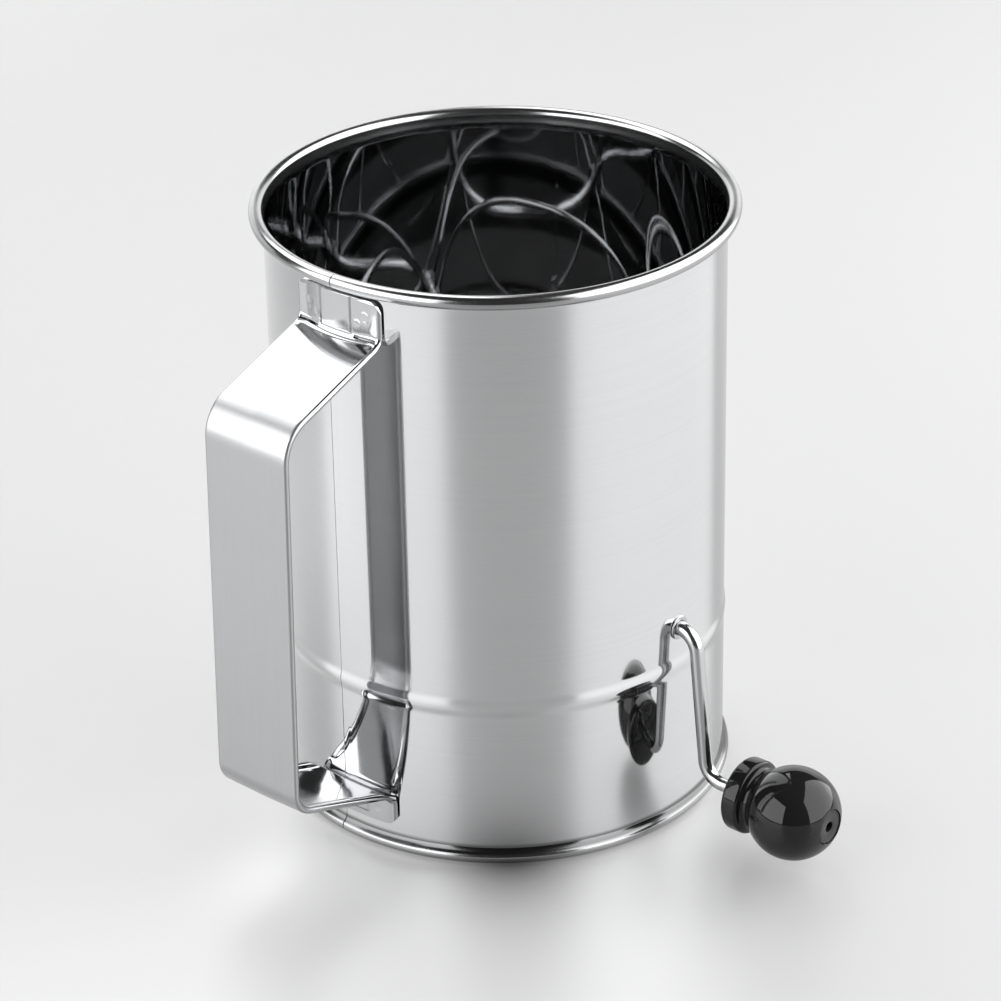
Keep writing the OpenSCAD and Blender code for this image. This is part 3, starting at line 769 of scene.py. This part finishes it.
def round_corners(corners, radii):
    """The path through the corners with an arc of FOLD_POINTS points at each inner one."""
    path = [corners[0]]
    for before, corner, after, radius in zip(corners, corners[1:], corners[2:], radii):
        back, ahead = unit(before - corner), unit(after - corner)
        half = math.acos(np.clip(back @ ahead, -1, 1)) / 2
        setback = radius / math.tan(half)
        centre = corner + unit(back + ahead) * radius / math.sin(half)
        start, end = corner + back * setback - centre, corner + ahead * setback - centre
        a0, a1 = math.atan2(start[1], start[0]), math.atan2(end[1], end[0])
        turn = turn_from(a1, a0)
        path += [centre + radius * np.array([math.cos(a0 + turn * t), math.sin(a0 + turn * t)])
                 for t in np.linspace(0, 1, FOLD_POINTS)]
    return np.array(path + [corners[-1]])


def strap_section():
    """Closed section as rows of (w across, depth); also a mask of the outer-face points."""
    outer = [(w, 0.0) for w in np.linspace(-13.0, 13.0, 81)]
    # hem rolled under along the edge on the +w side
    hem = [(13.0 + math.sin(t), -1.0 + math.cos(t)) for t in np.radians(np.linspace(18, 180, 10))]
    hem += [(11.9, -2.0), (11.55, -1.85), (11.45, -1.5), (11.2, -0.95), (10.9, -STRAP_THICK)]
    inner = [(w, -STRAP_THICK) for w in np.linspace(10.0, -10.0, 17)]
    section = np.array(outer + hem + inner + [(-w, depth) for w, depth in reversed(hem)])
    section[:, 0] *= STRAP_HALF_WIDTH / 14.0
    return section, np.arange(len(section)) < len(outer)


def strap_stations(total, folds):
    """Distances along the strap: close at the flanges and bends, wide on the straights."""
    stations = [0.0]
    while stations[-1] < total:
        s = stations[-1]
        if s < folds[0][1] + 3 or s > folds[3][0] - 3:
            step = 0.32
        elif any(start - 0.6 < s < end + 0.2 for start, end in folds[1:3]):
            step = 0.45
        else:
            step = 2.2
        stations.append(s + step)
    stations[-1] = total
    return np.array(stations)


# marks on the flanges' outer face: across, z, radius, depth
DENTS = (
    (9.3, 158.0, 1.25, -0.07), (6.9, 155.6, 1.1, -0.09), (-9.3, 157.4, 1.25, -0.07),
    (-6.9, 155.0, 1.0, -0.08), (9.3, 155.9, 0.45, -0.10), (-9.5, 155.2, 0.4, -0.10),
    (8.2, 12.0, 1.25, -0.08), (-8.2, 12.0, 1.25, -0.08),
)


def flange_relief(s, z, w, outer, total, folds):
    """Raised centre panels and round marks on the outer face of the flanges."""
    panel = clamp((5.35 - np.abs(w)) / (5.35 - 4.9)) * outer
    upper = clamp((folds[0][0] + 0.9 - s) / 0.5)
    lower = clamp((s - folds[3][1] + 0.6) / 0.5) * clamp((total - 1.8 - s) / 0.5)
    relief = np.outer(upper, panel) * 0.48 + np.outer(lower, panel) * 0.40
    for mark_w, mark_z, radius, depth in DENTS:
        away = np.hypot(w[None, :] - mark_w, z[:, None] - mark_z)
        relief += outer * depth * clamp((radius - away) / (0.4 * radius))
        relief += outer * 0.025 * np.exp(-((away - radius * 1.08) / (0.18 * radius)) ** 2)
    return relief


def strap_shape():
    corners = strap_corners()
    path = round_corners(corners, (2.6, 11.5, 8.5, 2.4))
    length = path_lengths(path)
    total = length[-1]
    # start and end of each fold: upper flange, grip top, grip foot, lower flange
    folds = [(length[1 + k * FOLD_POINTS], length[(k + 1) * FOLD_POINTS]) for k in range(4)]
    s = strap_stations(total, folds)
    path_r, path_z = (np.interp(s, length, column) for column in path.T)
    tangent = unit(np.stack([np.gradient(path_r, s), np.gradient(path_z, s)], 1))
    normal_r, normal_z = -tangent[:, 1], tangent[:, 0]
    section, outer = strap_section()
    w, depth = section.T
    upper_end, lower_start = folds[0][1], folds[3][0]

    # how far each station follows the wall's curve, in r and carried into z
    follow = np.maximum(clamp(1 - (s - upper_end) / 14.0), clamp(1 - (lower_start - s) / 14.0))
    top_run, low_run = corners[2] - corners[1], corners[3] - corners[4]
    carry = np.where(s < total / 2,
                     clamp(s / folds[0][0]) * top_run[1] / top_run[0],
                     clamp((total - s) / (total - folds[3][1])) * low_run[1] / low_run[0])
    # the flanges are plain sheet: the hem fades out towards each fold
    hem = clamp((s - upper_end - 0.5) / 3.0) * clamp((lower_start - 0.5 - s) / 3.0)
    depth = np.where(depth < -STRAP_THICK,
                     -STRAP_THICK + (depth + STRAP_THICK) * hem[:, None], depth)
    curve = STRAP_R - np.sqrt(STRAP_R * STRAP_R - w * w)
    r = path_r[:, None] + normal_r[:, None] * depth - np.outer(follow, curve)
    z = path_z[:, None] + normal_z[:, None] * depth - np.outer(follow * carry, curve)

    # rounded free corners of the flanges
    corner_r = 3.6
    past = np.clip(np.abs(w) - (STRAP_HALF_WIDTH - corner_r), 0, corner_r)
    drop = corner_r - np.sqrt(np.maximum(corner_r * corner_r - past ** 2, 0.0))
    clear_z = corners[1][1] + 3.0
    upper = clamp((path_z - clear_z) / (corners[0][1] - clear_z)) * (s < folds[0][0])
    z -= np.outer(upper, drop)
    clear_z = corners[4][1] - 3.0
    lower = clamp((clear_z - path_z) / (clear_z - corners[5][1])) * (s > folds[3][1])
    z += np.outer(lower, np.minimum(drop, 2.4))

    r += flange_relief(s, path_z, w, outer, total, folds)
    # the free edges of each flange stand a little off the wall
    lift = clamp((np.abs(w) - 10.5) / 3.0) ** 1.6
    flange = clamp((upper_end + 1.0 - s) / 1.5) + clamp((s - lower_start + 1.0) / 1.5)
    r += np.outer(flange, lift) * 0.62
    # gentle crown across the grip
    crown = clamp((13 - np.abs(w)) / 13) * 0.18
    grip = clamp((s - upper_end - 6) / 10) * clamp((lower_start - 6 - s) / 10)
    r += np.outer(grip * normal_r, crown)
    z += np.outer(grip * normal_z, crown)

    rows, columns = len(s), len(w)
    verts = np.stack([-r, -np.tile(w, (rows, 1)), z], -1).reshape(-1, 3)
    faces = list(grid_faces(rows, columns, closed=False))
    faces += [range(columns), range((rows - 1) * columns, rows * columns)[::-1]]
    return verts, faces


def cut_box(obj, low, high):
    """Cuts a plain box out of an object, applied."""
    (x0, y0, z0), (x1, y1, z1) = [[c * MM for c in corner] for corner in (low, high)]
    mesh = bpy.data.meshes.new("cutter")
    mesh.from_pydata([(x, y, z) for z in (z0, z1)
                      for x, y in ((x0, y0), (x1, y0), (x1, y1), (x0, y1))], [],
                     [(0, 3, 2, 1), (4, 5, 6, 7), (0, 1, 5, 4),
                      (1, 2, 6, 5), (2, 3, 7, 6), (3, 0, 4, 7)])
    cutter = bpy.data.objects.new("cutter", mesh)
    bpy.context.scene.collection.objects.link(cutter)
    modifier = obj.modifiers.new("cut", "BOOLEAN")
    modifier.operation = "DIFFERENCE"
    modifier.solver = "EXACT"
    modifier.object = cutter
    depsgraph = bpy.context.evaluated_depsgraph_get()
    result = bpy.data.meshes.new_from_object(obj.evaluated_get(depsgraph))
    obj.modifiers.clear()
    obj.data = result
    bpy.data.objects.remove(cutter)


def make_strap():
    material, slot = STRAP_STEEL_SHADED
    strap = mesh_object("HandleStrap", strap_shape(), material, sharp=0)
    # a slit each side of the raised panel in both flanges: inner end, bottom, top
    slit_end = 13.1
    for near, z0, z1 in ((6.0, 151.35, 152.3), (6.6, 14.9, 15.7)):
        for y0, y1 in ((near, slit_end), (-slit_end, -near)):
            cut_box(strap, (-70, y0, z0), (-56, y1, z1))
    strap.data.transform(Matrix.Rotation(HANDLE_TURN, 4, "Z"))
    strap.data.shade_smooth()
    strap.data.set_sharp_from_angle(angle=math.radians(38))
    register(strap, BODY, "handle_strap")


# ---------------------------------------------------------------- stage, in metres
# The stage frame has x right and y away from the camera, and is turned to face the camera.
STAGE_TURN = Matrix.Rotation(math.radians(-50.0), 4, "Z")


def floor_material():
    s = Shader("Floor")
    tone = s.noise(s.position, scale=3.0, detail=3.0)
    grit = s.noise(s.position, scale=500.0, detail=2.0)
    gray = 0.24
    color = s.mix(s.ramp(tone, span=(0.3, 0.7)), (gray, gray, gray * 1.003),
                  (gray * 1.015, gray * 1.015, gray * 1.018))
    x, y, _ = s.split()
    # the sweep behind the object is lit more strongly than the table
    sweep = s.ramp(y, span=(0.75, 1.2), out=(0.0, 0.62))

    # as the camera sees it, the table is an even pale tone: a quadratic in x and y
    near_x = s.ramp(x, span=(-0.25, 0.25), out=(-0.25, 0.25))
    near_y = s.ramp(y, span=(-0.2, 0.75), out=(-0.2, 0.75))
    even = s.add(0.150, s.mul(near_x, 0.574), s.mul(near_y, -0.182),
                 s.mul(s.mul(near_x, near_y), -0.458),
                 s.mul(s.mul(near_x, near_x), 0.47),
                 s.mul(s.mul(near_y, near_y), -0.069))
    # painted shade to the right in front of the base and a painted pool of light to the left in
    # front, both seen only by the camera
    for centre, size, strength in (((0.052, -0.075), 0.026, -0.13),
                                   ((-0.058, -0.069), 0.018, 0.13)):
        even = s.add(even, s.mul(s.spot(x, y, centre, (size, size)), strength))
    even = s.math("MAXIMUM", even, 0.0)

    # the table is in shade close in front of the base ring, most at the middle
    far = s.radius(x, y)
    toward = s.math("DIVIDE", s.mul(y, -1.0), s.add(far, 0.001))
    side = s.add(s.math("DIVIDE", x, s.add(far, 0.001)), -0.02)
    lobe = s.exp(s.square(side, 0.27), -1.0)
    front = s.mul(s.ramp(toward, span=(0.3, 0.9)), s.add(s.mul(lobe, 0.80), 0.20))
    fade = s.exp(s.math("MAXIMUM", s.sub(far, 0.063), 0.0), -52.0)
    shade = s.sub(1.0, s.mul(s.mul(front, fade), 0.86))
    # hardly any light reaches the table inside the base ring
    shade = s.mul(shade, s.ramp(far, span=(0.0570, 0.0615), out=(0.30, 1.0)))

    seen = s.node("ShaderNodeLightPath").outputs["Is Camera Ray"]
    glow = s.add(s.add(sweep, 0.185), s.mul(even, seen))
    # a painted pool of light, mirrored by the wall beside the handle, out of the camera's own sight
    painted_light_patch = s.mul(s.spot(x, y, (-0.25, 0.03), (0.13, 0.12)), s.sub(1.0, seen))
    glow = s.add(glow, s.mul(painted_light_patch, 0.22))
    s.set("Emission Color", (1, 1, 1, 1))
    s.set("Emission Strength", s.mul(glow, shade))
    s.set("Base Color", s.dim(color, shade))
    s.set("Specular IOR Level", s.mul(shade, 0.5))
    s.set("Roughness", 0.40)
    s.set("IOR", 2.35)
    s.set("Normal", s.bump(grit, strength=0.08, distance=0.05 * MM))
    return s.material


def make_floor():
    """A table that turns up into a backdrop behind the object."""
    material = floor_material()
    back, bend = 0.95, 0.35
    profile = [(y, 0.0) for y in np.linspace(-1.6, back, 20)]
    profile += [(back + bend * math.sin(t), bend - bend * math.cos(t))
                for t in np.linspace(0.08, math.pi / 2, 14)]
    profile += [(back + bend, 0.5), (back + bend, 0.72)]
    across = np.linspace(-2.6, 2.6, 27)
    drop = 0.0001
    verts = [(x, y, z - drop) for y, z in profile for x in across]
    n = len(across)
    faces = [(i * n + j, i * n + j + 1, (i + 1) * n + j + 1, (i + 1) * n + j)
             for i in range(len(profile) - 1) for j in range(n - 1)]
    mesh = bpy.data.meshes.new("StageFloor")
    mesh.from_pydata(verts, [], faces)
    mesh.shade_smooth()
    floor = bpy.data.objects.new("StageFloor", mesh)
    floor.matrix_world = STAGE_TURN
    bpy.context.scene.collection.objects.link(floor)
    mesh.materials.append(material)
    floor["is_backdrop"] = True


def area(name, place, look, width, height, radiance):
    """A soft panel; radiance is what a mirror sees in it."""
    light = bpy.data.lights.new(name, "AREA")
    light.shape = "RECTANGLE"
    light.size, light.size_y = width, height
    light.energy = radiance * math.pi * width * height
    panel = bpy.data.objects.new(name, light)
    z = (Vector(place) - Vector(look)).normalized()
    x = Vector((0, 0, 1)).cross(z).normalized() if abs(z.z) < 0.99 else Vector((1, 0, 0))
    turn = Matrix((x, z.cross(x), z)).transposed().to_4x4()
    panel.matrix_world = STAGE_TURN @ (Matrix.Translation(place) @ turn)
    bpy.context.scene.collection.objects.link(panel)


def make_lights():
    bright, dim = 3.3, 0.62
    left = math.radians(-151)
    area("PanelRight", (1.05, -0.22, 1.17), look=(0, -0.22, 1.17),
         width=2.55, height=2.25, radiance=bright)
    area("PanelLeft", (math.cos(left), math.sin(left), 0.57), look=(0, 0, 0.57),
         width=1.40, height=1.06, radiance=bright)
    area("PanelOver", (-0.52, 0.71, 0.95), look=(-0.52, 0.71, 0.0),
         width=1.04, height=1.00, radiance=bright)
    area("PanelDim", (-0.65, 0.08, 0.95), look=(-0.65, 0.08, 0.0),
         width=0.40, height=0.24, radiance=dim)
    world = bpy.data.worlds.new("Studio")
    bpy.context.scene.world = world
    world.use_nodes = True
    background = world.node_tree.nodes["Background"]
    background.inputs["Color"].default_value = (0.035, 0.035, 0.036, 1)
    background.inputs["Strength"].default_value = 1.0


def make_camera():
    distance, target_z = 1.0894, 0.08405
    elevation, pitch, roll = math.radians(27.29), math.radians(27.59), -0.0179
    data = bpy.data.cameras.new("Camera")
    data.sensor_width = 36.0
    data.lens = 143.64036
    data.clip_start, data.clip_end = 0.01, 50
    camera = bpy.data.objects.new("Camera", data)
    place = Vector((0.0, -distance * math.cos(elevation),
                    target_z + distance * math.sin(elevation)))
    forward = Vector((0.0, math.cos(pitch), -math.sin(pitch)))
    right = forward.cross(Vector((0, 0, 1))).normalized()
    up = right.cross(forward)
    cos, sin = math.cos(roll), math.sin(roll)
    right, up = right * cos + up * sin, up * cos - right * sin
    turn = Matrix((right, up, -forward)).transposed().to_4x4()
    camera.matrix_world = STAGE_TURN @ (Matrix.Translation(place) @ turn)
    bpy.context.scene.collection.objects.link(camera)
    bpy.context.scene.camera = camera


def set_render():
    scene = bpy.context.scene
    scene.view_settings.view_transform = "Standard"
    scene.view_settings.look = "None"
    scene.cycles.use_denoising = True
    scene.cycles.max_bounces = 14
    scene.cycles.glossy_bounces = 13
    scene.cycles.diffuse_bounces = 4
    scene.cycles.sample_clamp_indirect = 6.0
    scene.cycles.blur_glossy = 0.3


def plain(value):
    """Nested sequences of plain floats, for JSON."""
    return [plain(item) for item in value] if hasattr(value, "__len__") else float(value)


make_shell()
make_screen()
make_eyelets()
make_crank_rod()
make_agitator()
make_shaft_cap()
make_knob()
make_strap()
make_floor()
make_lights()
make_camera()
set_render()

bpy.context.view_layer.update()
box_at_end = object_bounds()
{"at_load": plain(box_at_load), "at_finish": plain(box_at_end)}
